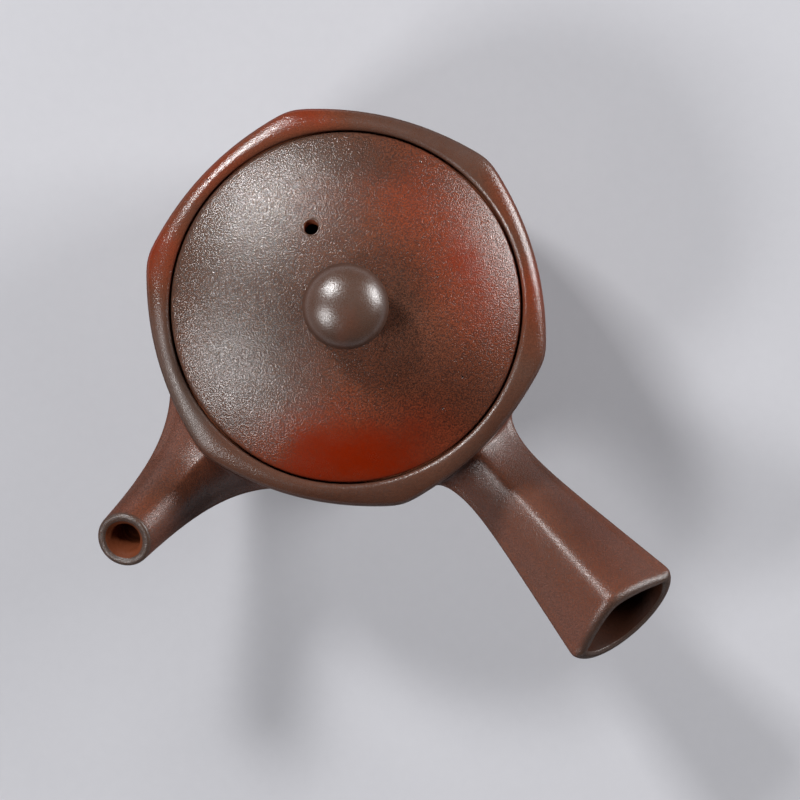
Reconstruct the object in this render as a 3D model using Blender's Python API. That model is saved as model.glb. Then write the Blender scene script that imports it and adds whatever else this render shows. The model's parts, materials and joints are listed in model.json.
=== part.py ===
"""Side-handled Japanese teapot (yokode kyusu) in unglazed, smoke-fired red clay.

A six-sided pot with a round mouth, a lift-off lid, a spout on one corner with a pierced clay
strainer behind it, and a hollow handle on the side a quarter turn from the spout.
Metres, +Z up. The origin is the centre of the flat base, the spout points to -Y.
"""

import math

import bmesh
import bpy
from mathutils import Vector

MM = 0.001
FIT_GAP = 0.3 * MM              # between pieces that touch

# Plan of the pot: a hexagon with bowed sides and rounded corners
SIDES = 6
SIDE_REACH = 47.8 * MM          # axis to the middle of a side
CORNER_REACH = 50.0 * MM        # axis to a corner
CORNER_FILLET = 13.9 * MM
FIRST_CORNER = math.radians(30)
POT_STEPS = 72                  # points round the pot

# Heights and walls of the pot
RIM_Z = 66.0 * MM               # top of the rounded rim
SHOULDER_Z = 61.4 * MM          # where the wall starts to roll over into the rim
BELLY_Z = 47.0 * MM             # widest height
BELLY_POWER = 0.75              # how early the belly swells out above the foot
FOOT_SHARE = 0.72               # width at the foot as a share of the belly
FOOT_BEVEL = 1.2 * MM
SHOULDER_DRAW_IN = 0.008        # share that the wall leans in above the belly
POT_WALL = 3.4 * MM
FLOOR_Z = 4.0 * MM              # inside floor
FLOOR_ROUND = 7.0 * MM          # inside corner between wall and floor

# Mouth: the lid sits in a stepped seat inside the rim
RIM_CREST = 44.3 * MM
SEAT_BORE = 43.0 * MM           # radius of the recess that takes the lid
SEAT_Z = 62.2 * MM              # top of the ledge
LEDGE_BORE = 38.6 * MM          # radius of the mouth inside the ledge
LEDGE_DEPTH = 2.4 * MM
LEDGE_FLARE_Z = 54.0 * MM       # where the ledge has widened out to the wall

# Spout, on the corner at -Y; distances out are from the pot's axis
SPOUT_ANGLE = math.radians(-89.7)
SPOUT_ROOT = Vector((41.0, 0, 35.5)) * MM
SPOUT_KNEE = Vector((63.0, 0, 43.0)) * MM
SPOUT_TIP = Vector((78.3, 0, 61.5)) * MM
SPOUT_ROOT_LEAN = math.radians(-8)
SPOUT_TIP_LEAN = math.radians(64)
SPOUT_TIP_REACH = 6.2 * MM      # half width that the flare settles to
SPOUT_FLARE = 10.9 * MM         # extra half width where it leaves the wall
SPOUT_FLARE_OUT = 45.2 * MM
SPOUT_FLARE_LENGTH = 12.2 * MM
SPOUT_SQUAT = 0.92              # height over width at the root
SPOUT_RIDGE = 1.35              # 1 is a sharp roof, 2 is round
SPOUT_TIP_WALL = 2.8 * MM
SPOUT_ROOT_WALL = 3.6 * MM
SPOUT_LIP = 1.3 * MM
SPOUT_STEPS = 28

# Opening in the pot's wall behind the spout, and the strainer that covers it
THROAT_Z = 36.5 * MM
THROAT_RADIUS = 10.5 * MM
THROAT_SPAN = (31.0 * MM, 55.0 * MM)     # how far out the opening's cutter reaches
THROAT_STEPS = 24
STRAINER_RADIUS = 14.6 * MM
STRAINER_WALL = 1.8 * MM
STRAINER_OPEN = math.radians(115)   # how far the ball runs round towards the wall
STRAINER_HOLE = 1.5 * MM            # across the corners of a hole
STRAINER_HOLE_RINGS = 5
STRAINER_HOLES_ADDED = 6        # each ring has this many more holes than the one inside it
STRAINER_RING_STEP = math.radians(11.5)
STRAINER_HOLE_SIDES = 6
STRAINER_STEPS = 24

# Handle, on the middle of the side at +X, turned a little towards the spout
HANDLE_ANGLE = math.radians(-4)
HANDLE_ROOT = Vector((41.0, 0, 40.0)) * MM
HANDLE_END = Vector((101.5, 0, 58.5)) * MM
HANDLE_SAG = 2.5 * MM
HANDLE_ROOT_LEAN = math.radians(4)
HANDLE_END_LEAN = math.radians(27)
HANDLE_WAIST = 7.3 * MM         # half width that the taper starts from at the wall
HANDLE_TAPER = 0.156            # half width gained for each metre out
HANDLE_FLARE = 5.2 * MM
HANDLE_FLARE_OUT = 46.6 * MM
HANDLE_FLARE_LENGTH = 6.8 * MM
HANDLE_ROOF = 0.70              # height of the ridge over the half width
HANDLE_KEEL = 0.80              # depth of the underside over the half width
HANDLE_RIDGE = 1.22
HANDLE_END_WALL = 3.8 * MM
HANDLE_ROOT_WALL = 3.2 * MM
HANDLE_LIP = 2.6 * MM
HANDLE_STEPS = 32

# Lid: a low dome with a seat ring, a locating flange and a knob
LID_RADIUS = 42.5 * MM
LID_EDGE = 2.9 * MM             # height of the lid's edge above its seat
LID_EDGE_ROUND = 0.7 * MM
LID_CROWN = 120.0 * MM          # radius of the dome near the middle
LID_CROWN_FALL = 6.25e-7 * MM ** -3     # how much faster the dome falls near its edge
LID_SHELL = 3.2 * MM
LID_STEPS = 60
LID_SEAT_INNER = 38.7 * MM      # the flat ring that rests on the ledge starts here
FLANGE_RADIUS = 37.9 * MM
FLANGE_WALL = 2.7 * MM
FLANGE_DEPTH = 7.6 * MM
FLANGE_NOSE = 0.9 * MM          # bevel on the flange's lower edge
VENT_OUT = 21.0 * MM
VENT_ANGLE = math.radians(157.6)
VENT_RADIUS = 1.8 * MM
VENT_STEPS = 16

# Knob: a flattened ball on a short neck
KNOB_RADIUS = 10.45 * MM
KNOB_HALF_HEIGHT = 6.7 * MM
KNOB_CENTRE = 9.3 * MM          # above the top of the dome
NECK_RADIUS = 4.5 * MM
NECK_FOOT = 5.6 * MM
KNOB_STEPS = 32


def mix(a, b, share):
    return a + (b - a) * share


def steps_between(a, b, count):
    """Evenly spaced values from a to b, both ends included."""
    return [mix(a, b, i / count) for i in range(count + 1)]


# Surfaces are skins stretched over a run of rings


def skin(name, rings, joined_ends=False):
    """A closed mesh over rings of equal count; a ring of one point is a pole."""
    mesh = bmesh.new()
    loops = [[mesh.verts.new(point) for point in ring] for ring in rings]
    pairs = list(zip(loops, loops[1:]))
    if joined_ends:
        pairs.append((loops[-1], loops[0]))
    for lower, upper in pairs:
        count = max(len(lower), len(upper))
        for i in range(count):
            j = (i + 1) % count
            corners = [lower[i % len(lower)], lower[j % len(lower)]]
            corners += [upper[j % len(upper)], upper[i % len(upper)]]
            mesh.faces.new(list(dict.fromkeys(corners)))
    if not joined_ends:
        if len(loops[0]) > 1:
            mesh.faces.new(loops[0][::-1])
        if len(loops[-1]) > 1:
            mesh.faces.new(loops[-1])
    data = bpy.data.meshes.new(name)
    mesh.to_mesh(data)
    mesh.free()
    data.shade_smooth()
    data.set_sharp_from_angle(angle=math.radians(40))
    return data


def turned_rings(profile, steps):
    """Rings round Z from a profile of (radius, height) points."""
    rings = []
    for radius, height in profile:
        if radius == 0:
            rings.append([Vector((0, 0, height))])
            continue
        angles = [2 * math.pi * i / steps for i in range(steps)]
        rings.append([Vector((radius * math.cos(a), radius * math.sin(a), height)) for a in angles])
    return rings


def rounded_section(centre, lean, half_width, roof, keel, ridge, steps):
    """A section across a spout or handle: a ridged roof over a round underside.

    It faces outward along X, tipped up by lean. A ridge of 2 gives an ellipse, 1 a sharp roof.
    """
    facing = Vector((math.cos(lean), 0, math.sin(lean)))
    across = Vector((0, 1, 0))
    rise = facing.cross(across)
    ring = []
    for i in range(steps):
        angle = 2 * math.pi * i / steps
        side, up = math.cos(angle), math.sin(angle)
        upper = up > 0
        power = 2 / (ridge if upper else 2)
        x = half_width * math.copysign(abs(side) ** power, side)
        y = (roof if upper else keel) * math.copysign(abs(up) ** power, up)
        ring.append(centre + across * x + rise * y)
    return ring


# Pot


def plan_reach(angle):
    """Distance from the axis to the pot's full plan in a direction."""
    sector = 2 * math.pi / SIDES
    half_sector = sector / 2
    from_corner = abs((angle - FIRST_CORNER + half_sector) % sector - half_sector)
    from_side = half_sector - from_corner
    fillet_centre = CORNER_REACH - CORNER_FILLET
    along = fillet_centre * math.cos(half_sector)
    bow = (CORNER_FILLET ** 2 - SIDE_REACH ** 2 - fillet_centre ** 2 + 2 * SIDE_REACH * along)
    bow /= 2 * (CORNER_FILLET - SIDE_REACH + along)
    setback = bow - SIDE_REACH
    meeting = math.atan2(fillet_centre * math.sin(half_sector), setback + along)
    meeting_angle = math.atan2(bow * math.sin(meeting), bow * math.cos(meeting) - setback)
    if from_side < meeting_angle:
        reach = math.sqrt(bow ** 2 - (setback * math.sin(from_side)) ** 2)
        return reach - setback * math.cos(from_side)
    reach = math.sqrt(CORNER_FILLET ** 2 - (fillet_centre * math.sin(from_corner)) ** 2)
    return reach + fillet_centre * math.cos(from_corner)


def belly_share(height):
    """Width of the wall at a height, as a share of the full plan."""
    if height <= BELLY_Z:
        swell = math.sin(math.pi / 2 * height / BELLY_Z) ** BELLY_POWER
        return mix(FOOT_SHARE, 1, swell)
    above = (height - BELLY_Z) / (SHOULDER_Z - BELLY_Z)
    return 1 - SHOULDER_DRAW_IN * above ** 2


def pot_ring(height, reach):
    """A ring round the pot, with reach giving the radius for each direction."""
    angles = [2 * math.pi * i / POT_STEPS for i in range(POT_STEPS)]
    return [Vector((reach(a) * math.cos(a), reach(a) * math.sin(a), height)) for a in angles]


def wall_ring(height, outward=0.0):
    """The pot's wall at a height, moved outward by a distance."""
    share = belly_share(height)
    return pot_ring(height, lambda angle: plan_reach(angle) * share + outward)


def round_ring(height, radius):
    return pot_ring(height, lambda angle: radius)


def rim_ring(turn, outward):
    """A ring on the quarter round from the six-sided shoulder to the round crest of the rim."""
    top_share = belly_share(SHOULDER_Z)
    out = math.cos(turn)

    def reach(angle):
        return mix(RIM_CREST, plan_reach(angle) * top_share, out) + outward * out

    return pot_ring(mix(SHOULDER_Z, RIM_Z + outward, math.sin(turn)), reach)


def outside_rings(outward=0.0):
    """From the foot up the wall and over to the top of the rim."""
    foot = pot_ring(-outward, lambda angle: plan_reach(angle) * FOOT_SHARE - FOOT_BEVEL + outward)
    rings = [foot]
    rings += [wall_ring(height, outward) for height in steps_between(FOOT_BEVEL, SHOULDER_Z, 9)]
    rings += [rim_ring(turn, outward) for turn in steps_between(0, math.pi / 2, 4)[1:]]
    return rings


def inside_rings(inward=POT_WALL):
    """From under the ledge down the inner wall to the floor."""
    rings = [wall_ring(height, -inward) for height in
             steps_between(LEDGE_FLARE_Z, FLOOR_Z + FLOOR_ROUND, 5)]
    floor_share = belly_share(FLOOR_Z + FLOOR_ROUND)
    for turn in steps_between(0, math.pi / 2, 3)[1:]:
        drawn_in = inward + FLOOR_ROUND * (1 - math.cos(turn))
        height = FLOOR_Z + inward - POT_WALL + FLOOR_ROUND * (1 - math.sin(turn))
        rings.append(pot_ring(height, lambda angle, d=drawn_in: plan_reach(angle) * floor_share - d))
    return rings


def mouth_rings():
    """The rim's inner slope, the recess and ledge for the lid, and the neck under the ledge."""
    slope = RIM_CREST - SEAT_BORE
    rings = [round_ring(RIM_Z - slope * (1 - math.cos(turn)), RIM_CREST - slope * math.sin(turn))
             for turn in steps_between(0, math.pi / 2, 3)[1:]]
    rings.append(round_ring(SEAT_Z, SEAT_BORE))
    rings.append(round_ring(SEAT_Z, LEDGE_BORE))
    rings.append(round_ring(SEAT_Z - LEDGE_DEPTH, LEDGE_BORE))
    return rings


def make_pot_body():
    return skin("pot_body", outside_rings() + mouth_rings() + inside_rings())


def make_pot_clearance():
    """The pot as a solid lump, one fit gap larger all over, which trims what is luted to it."""
    return skin("pot_clearance", outside_rings(FIT_GAP))


def make_cavity_clearance():
    """The pot's inside below the ledge, one fit gap smaller, as a solid lump."""
    return skin("cavity_clearance", inside_rings(POT_WALL + FIT_GAP)[::-1])


def make_throat():
    """Cutter for the opening behind the spout, modelled upright."""
    profile = [(THROAT_RADIUS, out) for out in THROAT_SPAN]
    return skin("throat", turned_rings(profile, THROAT_STEPS))


# Spout and handle, modelled pointing along X


def spout_section(along, inset=0.0, advance=0.0):
    """A section of the spout; along runs from 0 inside the wall to 1 at the mouth."""
    start = SPOUT_ROOT.lerp(SPOUT_KNEE, along)
    centre = start.lerp(SPOUT_KNEE.lerp(SPOUT_TIP, along), along)
    lean = mix(SPOUT_ROOT_LEAN, SPOUT_TIP_LEAN, along)
    centre = centre + Vector((math.cos(lean), 0, math.sin(lean))) * advance
    flare = math.exp((SPOUT_FLARE_OUT - centre.x) / SPOUT_FLARE_LENGTH)
    half_width = SPOUT_TIP_REACH + SPOUT_FLARE * flare
    half_height = half_width * mix(SPOUT_SQUAT, 1, along)
    ridge = mix(SPOUT_RIDGE, 2, min(1, along * 1.3) ** 2)
    return rounded_section(centre, lean, half_width - inset, half_height - inset,
                           half_height - inset, ridge, SPOUT_STEPS)


def handle_section(along, inset=0.0, advance=0.0):
    """A section of the handle; along runs from 0 inside the wall to 1 at the open end."""
    centre = HANDLE_ROOT.lerp(HANDLE_END, along)
    centre.z -= HANDLE_SAG * 4 * along * (1 - along)
    lean = mix(HANDLE_ROOT_LEAN, HANDLE_END_LEAN, along)
    centre = centre + Vector((math.cos(lean), 0, math.sin(lean))) * advance
    out = centre.x - HANDLE_FLARE_OUT
    half_width = HANDLE_WAIST + HANDLE_TAPER * out
    half_width += HANDLE_FLARE * math.exp(-out / HANDLE_FLARE_LENGTH)
    return rounded_section(centre, lean, half_width - inset, half_width * HANDLE_ROOF - inset,
                           half_width * HANDLE_KEEL - inset, HANDLE_RIDGE, HANDLE_STEPS)


def hollow_horn(name, section, count, lip, root_wall, end_wall):
    """A tapering tube: out along the outside, round the lip, and back along the bore."""
    rings = [section(along, advance=-lip * along) for along in steps_between(0, 1, count)]
    for turn in steps_between(0, math.pi / 2, 3)[1:]:
        rings.append(section(1, inset=lip * (1 - math.cos(turn)), advance=lip * (math.sin(turn) - 1)))
    inner_edge = 0.5 * (end_wall - lip)
    for turn in steps_between(0, math.pi / 2, 2):
        inset = end_wall - inner_edge * (1 - math.sin(turn))
        rings.append(section(1, inset=inset, advance=-inner_edge * (1 - math.cos(turn))))
    for along in steps_between(1, 0, count)[1:]:
        rings.append(section(along, inset=mix(root_wall, end_wall, along)))
    return skin(name, rings, joined_ends=True)


def make_spout():
    return hollow_horn("spout", spout_section, 9, SPOUT_LIP, SPOUT_ROOT_WALL, SPOUT_TIP_WALL)


def make_handle():
    return hollow_horn("handle", handle_section, 8, HANDLE_LIP, HANDLE_ROOT_WALL, HANDLE_END_WALL)


# Strainer: a pierced half ball over the opening, modelled with its pole along Z


def make_strainer():
    outer = [(STRAINER_RADIUS * math.sin(a), STRAINER_RADIUS * math.cos(a))
             for a in steps_between(0, STRAINER_OPEN, 7)[1:]]
    bore = STRAINER_RADIUS - STRAINER_WALL
    inner = [(bore * math.sin(a), bore * math.cos(a)) for a in steps_between(0, STRAINER_OPEN, 7)[1:]]
    profile = [(0, bore)] + inner + outer[::-1] + [(0, STRAINER_RADIUS)]
    return skin("tea_strainer", turned_rings(profile, STRAINER_STEPS))


def make_strainer_pins():
    """Cutters for the holes: one in the middle, then rings of 6, 12, 18 and so on."""
    mesh = bmesh.new()
    for ring in range(STRAINER_HOLE_RINGS + 1):
        tilt = ring * STRAINER_RING_STEP
        count = max(1, STRAINER_HOLES_ADDED * ring)
        for i in range(count):
            turn = 2 * math.pi * (i + 0.5 * (ring % 2)) / count
            axis = Vector((math.sin(tilt) * math.cos(turn), math.sin(tilt) * math.sin(turn), math.cos(tilt)))
            middle = axis * (STRAINER_RADIUS - STRAINER_WALL / 2)
            spin = axis.to_track_quat("Z", "Y").to_matrix().to_4x4()
            spin.translation = middle
            bmesh.ops.create_cone(mesh, cap_ends=True, segments=STRAINER_HOLE_SIDES,
                                  radius1=STRAINER_HOLE / 2, radius2=STRAINER_HOLE / 2,
                                  depth=STRAINER_WALL * 2, matrix=spin)
    data = bpy.data.meshes.new("strainer_pins")
    mesh.to_mesh(data)
    mesh.free()
    return data


# Lid, modelled from its seat plane up


def dome_height(radius):
    """Height of the lid's upper face over its seat."""
    fall = radius ** 2 / (2 * LID_CROWN) + LID_CROWN_FALL * radius ** 4
    edge_fall = LID_RADIUS ** 2 / (2 * LID_CROWN) + LID_CROWN_FALL * LID_RADIUS ** 4
    return LID_EDGE + edge_fall - fall


def make_lid_dome():
    recess = FLANGE_RADIUS + FIT_GAP
    under = [(0, dome_height(0) - LID_SHELL)]
    under += [(r, dome_height(r) - LID_SHELL) for r in steps_between(0, recess, 4)[1:]]
    shoulder = LID_RADIUS - LID_EDGE_ROUND
    edge = [(LID_SEAT_INNER, 0), (shoulder, 0), (LID_RADIUS, LID_EDGE_ROUND)]
    edge.append((LID_RADIUS, LID_EDGE - LID_EDGE_ROUND))
    over = [(r, dome_height(r)) for r in steps_between(shoulder, 0, 8)[:-1]]
    profile = under + edge + over + [(0, dome_height(0))]
    return skin("lid_dome", turned_rings(profile, LID_STEPS))


def make_vent():
    """Cutter for the round vent through the dome."""
    bottom = dome_height(VENT_OUT) - 2 * LID_SHELL
    profile = [(VENT_RADIUS, bottom), (VENT_RADIUS, dome_height(0))]
    return skin("vent", turned_rings(profile, VENT_STEPS))


def make_lid_flange():
    inner = FLANGE_RADIUS - FLANGE_WALL
    profile = [(inner, dome_height(inner) - LID_SHELL - FIT_GAP), (inner, FLANGE_NOSE - FLANGE_DEPTH)]
    profile += [(inner + FLANGE_NOSE, -FLANGE_DEPTH), (FLANGE_RADIUS - FLANGE_NOSE, -FLANGE_DEPTH)]
    profile += [(FLANGE_RADIUS, FLANGE_NOSE - FLANGE_DEPTH)]
    profile += [(FLANGE_RADIUS, dome_height(FLANGE_RADIUS) - LID_SHELL - FIT_GAP)]
    return skin("lid_flange", turned_rings(profile, LID_STEPS), joined_ends=True)


def make_lid_knob():
    foot = dome_height(0) + FIT_GAP
    centre = dome_height(0) + KNOB_CENTRE
    join = math.acos(NECK_RADIUS / KNOB_RADIUS)
    ball_foot = centre - KNOB_HALF_HEIGHT * math.sin(join)
    profile = [(0, foot)]
    for up in steps_between(0, 1, 4)[:-1]:
        profile.append((mix(NECK_RADIUS, NECK_FOOT, (1 - up) ** 2), mix(foot, ball_foot, up)))
    for tilt in steps_between(-join, math.pi / 2, 11)[:-1]:
        profile.append((KNOB_RADIUS * math.cos(tilt), centre + KNOB_HALF_HEIGHT * math.sin(tilt)))
    profile.append((0, centre + KNOB_HALF_HEIGHT))
    return skin("lid_knob", turned_rings(profile, KNOB_STEPS))


# Putting the pieces in the scene


def clay(name, colour, roughness):
    material = bpy.data.materials.new(name)
    material.use_nodes = True
    shader = material.node_tree.nodes["Principled BSDF"]
    shader.inputs["Base Color"].default_value = (*colour, 1)
    shader.inputs["Roughness"].default_value = roughness
    shader.inputs["Metallic"].default_value = 0
    material.diffuse_color = (*colour, 1)
    return material


def place(data, location=(0, 0, 0), rotation=(0, 0, 0), parent=None, material=None):
    thing = bpy.data.objects.new(data.name, data)
    bpy.context.scene.collection.objects.link(thing)
    thing.location = location
    thing.rotation_euler = rotation
    thing.parent = parent
    if material:
        data.materials.append(material)
    return thing


def guide(data, **placing):
    """A cutter, kept out of the object itself."""
    thing = place(data, **placing)
    thing.hide_render = True
    thing.display_type = "WIRE"
    return thing


def cut(target, cutter, operation="DIFFERENCE"):
    modifier = target.modifiers.new(cutter.name, "BOOLEAN")
    modifier.operation = operation
    modifier.solver = "EXACT"
    modifier.object = cutter


def empty(name, location=(0, 0, 0), rotation=(0, 0, 0)):
    thing = bpy.data.objects.new(name, None)
    bpy.context.scene.collection.objects.link(thing)
    thing.location = location
    thing.rotation_euler = rotation
    return thing


def main():
    for thing in list(bpy.data.objects):
        bpy.data.objects.remove(thing, do_unlink=True)

    smoked = clay("smoked_clay", (0.115, 0.062, 0.046), 0.42)
    brown = clay("spout_clay", (0.135, 0.060, 0.042), 0.45)
    handle_brown = clay("handle_clay", (0.120, 0.055, 0.042), 0.45)
    raw = clay("strainer_clay", (0.310, 0.095, 0.045), 0.65)
    lid_red = clay("lid_clay", (0.150, 0.060, 0.040), 0.40)
    flange_red = clay("flange_clay", (0.290, 0.090, 0.045), 0.60)
    knob_grey = clay("knob_clay", (0.100, 0.068, 0.056), 0.36)

    pot_clearance = guide(make_pot_clearance())
    cavity_clearance = guide(make_cavity_clearance())
    body = place(make_pot_body(), material=smoked)

    spout_axis = empty("spout_axis", rotation=(0, 0, SPOUT_ANGLE))
    lying_out = (0, math.radians(90), 0)
    throat = guide(make_throat(), location=(0, 0, THROAT_Z), rotation=lying_out, parent=spout_axis)
    cut(body, throat)
    spout = place(make_spout(), parent=spout_axis, material=brown)
    cut(spout, pot_clearance)

    ball_out = CORNER_REACH * belly_share(THROAT_Z) - POT_WALL
    facing_in = (0, math.radians(-90), 0)
    strainer_place = {"location": (ball_out, 0, THROAT_Z), "rotation": facing_in, "parent": spout_axis}
    pins = guide(make_strainer_pins(), **strainer_place)
    strainer = place(make_strainer(), material=raw, **strainer_place)
    cut(strainer, cavity_clearance, "INTERSECT")
    cut(strainer, pins)

    handle = place(make_handle(), rotation=(0, 0, HANDLE_ANGLE), material=handle_brown)
    cut(handle, pot_clearance)

    lid_seat = empty("lid_seat", location=(0, 0, SEAT_Z + FIT_GAP))
    dome = place(make_lid_dome(), parent=lid_seat, material=lid_red)
    vent_at = (VENT_OUT * math.cos(VENT_ANGLE), VENT_OUT * math.sin(VENT_ANGLE), 0)
    vent = guide(make_vent(), location=vent_at, parent=lid_seat)
    cut(dome, vent)
    place(make_lid_flange(), parent=lid_seat, material=flange_red)
    place(make_lid_knob(), parent=lid_seat, material=knob_grey)


main()
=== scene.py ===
"""Studio scene of a side-handled Japanese teapot in unglazed, smoke-fired red clay.

The pot stands on a pale floor and is seen from straight above. Each clay piece is pulled,
ring by ring, over the place that its plain solid holds, and gets its own firing marks.
"""

import json
import math

import bmesh
import bpy
from mathutils import Matrix, Vector

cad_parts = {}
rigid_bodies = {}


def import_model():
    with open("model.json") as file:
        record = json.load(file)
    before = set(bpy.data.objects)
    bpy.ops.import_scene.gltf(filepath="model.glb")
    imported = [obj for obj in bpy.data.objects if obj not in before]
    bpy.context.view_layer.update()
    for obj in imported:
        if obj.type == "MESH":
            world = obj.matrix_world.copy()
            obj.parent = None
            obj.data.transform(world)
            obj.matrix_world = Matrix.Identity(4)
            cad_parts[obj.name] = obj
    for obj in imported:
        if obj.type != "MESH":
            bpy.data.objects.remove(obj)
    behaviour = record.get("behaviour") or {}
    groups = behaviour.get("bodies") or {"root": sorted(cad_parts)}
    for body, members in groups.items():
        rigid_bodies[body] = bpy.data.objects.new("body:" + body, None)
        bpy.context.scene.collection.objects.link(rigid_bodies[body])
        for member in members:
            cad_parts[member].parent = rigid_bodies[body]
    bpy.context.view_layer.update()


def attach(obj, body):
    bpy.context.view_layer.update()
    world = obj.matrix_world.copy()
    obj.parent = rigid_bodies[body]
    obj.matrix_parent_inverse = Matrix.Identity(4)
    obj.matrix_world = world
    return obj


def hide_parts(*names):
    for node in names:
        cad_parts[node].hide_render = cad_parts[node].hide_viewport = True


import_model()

MM = 0.001
STUDIO_TURN = math.radians(44)      # the picture's right-hand direction, turned from +X

# Overhead camera: where it hangs, and how wide it sees at the height of the rim
CAMERA_PLACE = (0.0251, -0.0071, 2.2)
SENSOR_WIDTH = 36
VIEW_LEVEL = 0.063
VIEW_WIDTH = 0.1944

# Plan of the pot
SIDE_REACH = 47.8 * MM
CORNER_REACH = 50.3 * MM            # before the corner is rubbed round
RING_CUTS = 23                      # cuts in each of the six sides

# Heights and walls of the pot
RIM_Z = 66.0 * MM
SHOULDER_Z = 63.2 * MM
BELLY_Z = 47.0 * MM
FOOT_SHARE = 0.72
BELLY_FULLNESS = 0.75               # below 1 swells the wall sooner above the foot
SHOULDER_DRAW = 0.008               # share of the width lost from the belly to the shoulder
FOOT_BEVEL = 1.2 * MM
POT_WALL = 3.4 * MM
FLOOR_Z = 4.0 * MM
RIM_CREST = 44.35 * MM
SEAT_BORE = 43.0 * MM
SEAT_Z = 62.2 * MM
LEDGE_BORE = 38.6 * MM
LEDGE_Z = 59.8 * MM
LEDGE_FLARE_Z = 54.0 * MM
INSIDE_BEND = 7 * MM                # round corner between the inside wall and the floor

# The rim's outer roll: how far out towards the shoulder, and how far below the crest
RIM_ROLL = ((0.99, 2.2), (0.951, 1.73), (0.869, 1.30), (0.738, 0.97), (0.607, 0.67),
            (0.443, 0.40), (0.311, 0.21), (0.148, 0.05), (0.0, 0.0))

# Lid and knob, from the lid's seat up
LID_SEAT_Z = 62.5 * MM
LID_RADIUS = 42.5 * MM
LID_EDGE = 2.9 * MM
LID_SHELL = 3.2 * MM
DOME_CURVE = 0.240                  # the dome falls by radius squared over this, in metres,
DOME_DROOP = 625                    # and by this times the fourth power of the radius
FLANGE_OUTER = 37.9 * MM
FLANGE_INNER = 35.2 * MM
FLANGE_DEPTH = 7.6 * MM
VENT_OUT = 21.0 * MM
VENT_ANGLE = math.radians(157.6)
VENT_RADIUS = 1.8 * MM
KNOB_RADIUS = 10.45 * MM
KNOB_HALF_HEIGHT = 6.7 * MM
KNOB_CENTRE = 9.3 * MM
NECK_RADIUS = 4.5 * MM
NECK_SHARE = 4.5 / 10.45            # of the knob's radius
NECK_FLARE = 1.1 * MM

# Spout and the opening behind it
SPOUT_ANGLE = math.radians(-89.7)
SPOUT_CUTS = 8                      # cuts in each quarter of its section
SPOUT_ROOT = Vector((41.0, 0, 35.5))  # its middle line in millimetres, with X outwards
SPOUT_BEND = Vector((63.0, 0, 43.0))
SPOUT_TIP = Vector((78.3, 0, 61.5))
THROAT_Z = 36.5 * MM
THROAT_RADIUS = 10.2 * MM
BORE_LIMIT = 10.1 * MM              # the bore's half width where it meets the throat

# Strainer
STRAINER_RADIUS = 14.6 * MM
STRAINER_SHELL = 1.8 * MM
STRAINER_ROWS = 6
ROW_STEP = math.radians(11.5)
HOLE_RADIUS = 0.72 * MM

# Handle
HANDLE_ANGLE = math.radians(-4)
HANDLE_CUTS = 9
ROOF_SLOPE = 0.75                   # width over height that its bore loses to the wall

# How a spout or handle is joined to the wall
SKIRT_RINGS = 12                    # rings near the foot that may be smeared onto the wall
SKIRT_LIFT = 0.06 * MM
FOOT_SUNK = 0.4 * MM


# Camera, light and floor


def polar(azimuth, elevation, distance):
    """A place round the teapot, from angles in degrees."""
    turn, rise = math.radians(azimuth), math.radians(elevation)
    flat = distance * math.cos(rise)
    return Vector((flat * math.cos(turn), flat * math.sin(turn), distance * math.sin(rise)))


def hang_camera():
    """A long lens high over the pot, so that it sees almost no perspective."""
    data = bpy.data.cameras.new("overhead_camera")
    data.sensor_width = SENSOR_WIDTH
    data.lens = SENSOR_WIDTH * (CAMERA_PLACE[2] - VIEW_LEVEL) / VIEW_WIDTH
    camera = bpy.data.objects.new("overhead_camera", data)
    bpy.context.scene.collection.objects.link(camera)
    camera.location = CAMERA_PLACE
    camera.rotation_euler = (0, 0, STUDIO_TURN)
    bpy.context.scene.camera = camera


def hang_softbox(name, azimuth, elevation, distance, width, height, level):
    """A soft panel that lights a white floor under it to the given level."""
    data = bpy.data.lights.new(name, "AREA")
    data.shape = "RECTANGLE"
    data.size, data.size_y = width, height
    data.energy = level * (math.pi * distance) ** 2 / math.sin(math.radians(elevation))
    lamp = bpy.data.objects.new(name, data)
    bpy.context.scene.collection.objects.link(lamp)
    lamp.location = polar(azimuth, elevation, distance)
    lamp.rotation_euler = lamp.location.to_track_quat("Z", "Y").to_euler()
    lamp.visible_camera = False


# Materials

# Fired colours, from unsmoked clay to the greyest smoke
FLAME = (0.260, 0.016, 0.000, 1)
BRICK = (0.215, 0.044, 0.019, 1)
RED_BROWN = (0.165, 0.049, 0.025, 1)
BROWN = (0.125, 0.052, 0.032, 1)
GREY_BROWN = (0.100, 0.055, 0.039, 1)
SOOT = (0.070, 0.045, 0.034, 1)
RAW_RED = (0.270, 0.075, 0.032, 1)
RAW_PALE = (0.350, 0.120, 0.058, 1)
# Raw clay for the insides of the spout and handle, darkened well below RAW_RED and RAW_PALE:
# painted shade in the bores
BORE_SHADED_RED = (0.140, 0.032, 0.010, 1)
BORE_SHADED_BROWN = (0.090, 0.022, 0.006, 1)
BORE_SHADED_DARK = (0.022, 0.006, 0.002, 1)
BORE_SHADED_PALE = (0.210, 0.058, 0.022, 1)

# How much of a colour is left in the darker patches (painted shade where they lie on sides away
# from the lamps), in pits, and on steep matt faces (painted shade)
SHADE_AND_DARKENING = (0.52, 0.46, 0.44, 1)
PIT = (0.10, 0.08, 0.07, 1)
STEEP_PAINTED_SHADE = (0.84, 0.80, 0.78, 1)
LIP_SOOT = 0.85                     # how much of the colour soot takes over on the lips

# Matt clay, and the relief of the clay's skin in metres
MATT_INDEX = 1.3
MATT_ROUGHNESS = 0.6
SKIN_RELIEF = 0.00006
PEEL_RELIEF = 0.00010
FINE_RELIEF = 0.000014
TURNING_RELIEF = 0.00010
PIT_RELIEF = 0.00012
THROWING_RELIEF = 0.00018
SAND_RELIEF = 0.00007


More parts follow.
